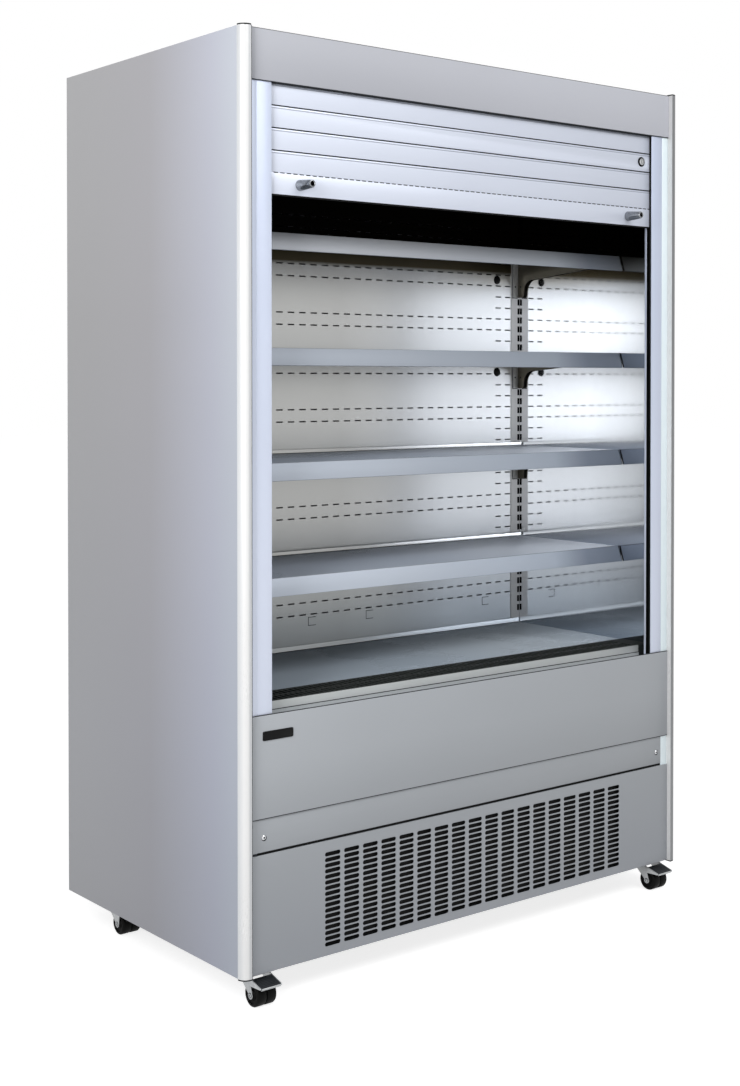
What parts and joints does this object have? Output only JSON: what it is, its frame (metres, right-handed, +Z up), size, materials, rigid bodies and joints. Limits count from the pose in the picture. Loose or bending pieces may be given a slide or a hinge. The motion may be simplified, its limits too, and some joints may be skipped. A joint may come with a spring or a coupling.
{
  "type": "open multideck display fridge",
  "caption": "Upright open-front chilled display cabinet with shelves, a slotted lower grille and a roller shutter, standing on swivel castors.",
  "frame": {"origin": "middle of the outer box, on the floor under the wheels", "axes": "+Z up, +Y towards the back of the cabinet, +X towards its right side seen from the front"},
  "size_m": [1.33, 0.769, 2.013],
  "materials": {
    "foam_filled_wall": "satin",
    "white_shell": "satin",
    "grey_front": "satin",
    "bright_aluminium": "satin",
    "polished_liner": "polished",
    "white_liner": "gloss",
    "shelf_steel": "satin",
    "black_grille": "satin",
    "black_plastic": "matte",
    "seal_rubber": "matte",
    "wheel_tread": "matte",
    "zinc_steel": "satin",
    "wound_slats": "satin",
    "knob_metal": "polished",
    "coil_fins": "matte",
    "compressor_black": "satin"
  },
  "bodies": {
    "cabinet": {"end_wall_left": "foam_filled_wall", "end_wall_right": "foam_filled_wall", "corner_profiles": "bright_aluminium", "corner_caps": "black_plastic", "edge_trims": "bright_aluminium", "side_liners": "polished_liner", "rear_wall": "foam_filled_wall", "roof_panel": "foam_filled_wall", "tub_floor": "foam_filled_wall", "tub_front": "foam_filled_wall", "header_fascia": "white_shell", "front_panel": "grey_front", "service_band": "grey_front", "grille_panel": "grey_front", "guide_rails": "bright_aluminium", "shutter_housing": "white_shell", "ceiling_panel": "white_liner", "air_discharge_grille": "black_grille", "shelf_1": "shelf_steel", "shelf_2": "shelf_steel", "shelf_3": "shelf_steel", "shelf_4": "shelf_steel", "price_rails": "shelf_steel", "shelf_brackets": "shelf_steel", "shelf_uprights": "shelf_steel", "duct_panel": "white_liner", "deck_pan": "white_liner", "front_lip": "polished_liner", "return_grille": "black_grille", "evaporator_fan_plate": "zinc_steel", "evaporator_coil": "coil_fins", "base_frame": "zinc_steel", "condenser_coil": "coil_fins", "condenser_shroud": "zinc_steel", "compressor": "compressor_black", "evaporation_tray": "black_plastic", "electrics_box": "black_plastic", "rear_vent_cover": "white_shell", "castor_plates": "zinc_steel"},
    "shutter": {"shutter_slats": "bright_aluminium", "bottom_bar": "bright_aluminium", "bottom_seal": "seal_rubber", "shutter_knobs": "knob_metal", "lock_case": "knob_metal"},
    "lock": {"lock_barrel": "knob_metal"},
    "barrel": {"shutter_barrel": "zinc_steel", "shutter_roll": "wound_slats"},
    "evaporator_fan_left": {"evaporator_fan_left": "black_plastic"},
    "evaporator_fan_right": {"evaporator_fan_right": "black_plastic"},
    "condenser_fan": {"condenser_fan": "black_plastic"},
    "castor_fork_front_left": {"castor_fork_front_left": "zinc_steel"},
    "castor_wheels_front_left": {"castor_wheels_front_left": "wheel_tread"},
    "castor_fork_front_right": {"castor_fork_front_right": "zinc_steel"},
    "castor_wheels_front_right": {"castor_wheels_front_right": "wheel_tread"},
    "castor_fork_rear_left": {"castor_fork_rear_left": "zinc_steel"},
    "castor_wheels_rear_left": {"castor_wheels_rear_left": "wheel_tread"},
    "castor_fork_rear_right": {"castor_fork_rear_right": "zinc_steel"},
    "castor_wheels_rear_right": {"castor_wheels_rear_right": "wheel_tread"},
    "brake_pedal_left": {"brake_pedal_left": "black_plastic"},
    "brake_pedal_right": {"brake_pedal_right": "black_plastic"}
  },
  "joints": [
    {"name": "shutter_slide", "type": "slide", "parent": "cabinet", "child": "shutter", "axis": [0, 0, -1], "range_m": [0, 1.0825]},
    {"name": "barrel_turn", "type": "hinge", "parent": "cabinet", "child": "barrel", "pos_m": [0, -0.2765, 1.931], "axis": [1, 0, 0], "range_deg": [0, 1580]},
    {"name": "lock_turn", "type": "hinge", "parent": "shutter", "child": "lock", "pos_m": [0.5525, -0.3415, 1.83712], "axis": [0, -1, 0], "range_deg": [0, 90]},
    {"name": "evaporator_fan_left_spin", "type": "hinge", "parent": "cabinet", "child": "evaporator_fan_left", "pos_m": [-0.28, -0.1093, 0.487], "axis": [0, 1, 0], "continuous": true},
    {"name": "evaporator_fan_right_spin", "type": "hinge", "parent": "cabinet", "child": "evaporator_fan_right", "pos_m": [0.28, -0.1093, 0.487], "axis": [0, 1, 0], "continuous": true},
    {"name": "condenser_fan_spin", "type": "hinge", "parent": "cabinet", "child": "condenser_fan", "pos_m": [0.20867, -0.2098, 0.183], "axis": [0, 1, 0], "continuous": true},
    {"name": "castor_swivel_front_left", "type": "hinge", "parent": "cabinet", "child": "castor_fork_front_left", "pos_m": [-0.605, -0.3145, 0.061], "axis": [0, 0, 1], "continuous": true},
    {"name": "castor_roll_front_left", "type": "hinge", "parent": "castor_fork_front_left", "child": "castor_wheels_front_left", "pos_m": [-0.605, -0.3395, 0.025], "axis": [1, 0, 0], "continuous": true},
    {"name": "castor_swivel_front_right", "type": "hinge", "parent": "cabinet", "child": "castor_fork_front_right", "pos_m": [0.605, -0.3145, 0.061], "axis": [0, 0, 1], "continuous": true},
    {"name": "castor_roll_front_right", "type": "hinge", "parent": "castor_fork_front_right", "child": "castor_wheels_front_right", "pos_m": [0.605, -0.3395, 0.025], "axis": [1, 0, 0], "continuous": true},
    {"name": "castor_swivel_rear_left", "type": "hinge", "parent": "cabinet", "child": "castor_fork_rear_left", "pos_m": [-0.605, 0.2345, 0.061], "axis": [0, 0, 1], "continuous": true},
    {"name": "castor_roll_rear_left", "type": "hinge", "parent": "castor_fork_rear_left", "child": "castor_wheels_rear_left", "pos_m": [-0.605, 0.2095, 0.025], "axis": [1, 0, 0], "continuous": true},
    {"name": "castor_swivel_rear_right", "type": "hinge", "parent": "cabinet", "child": "castor_fork_rear_right", "pos_m": [0.605, 0.2345, 0.061], "axis": [0, 0, 1], "continuous": true},
    {"name": "castor_roll_rear_right", "type": "hinge", "parent": "castor_fork_rear_right", "child": "castor_wheels_rear_right", "pos_m": [0.605, 0.2095, 0.025], "axis": [1, 0, 0], "continuous": true},
    {"name": "brake_pedal_left_tilt", "type": "hinge", "parent": "castor_fork_front_left", "child": "brake_pedal_left", "pos_m": [-0.605, -0.3445, 0.0552], "axis": [1, 0, 0], "range_deg": [-12, 12]},
    {"name": "brake_pedal_right_tilt", "type": "hinge", "parent": "castor_fork_front_right", "child": "brake_pedal_right", "pos_m": [0.605, -0.3445, 0.0552], "axis": [1, 0, 0], "range_deg": [-12, 12]}
  ],
  "couplings": [
    {"joint": "barrel_turn", "follows": "shutter_slide", "rad_per_m": 25.456}
  ]
}
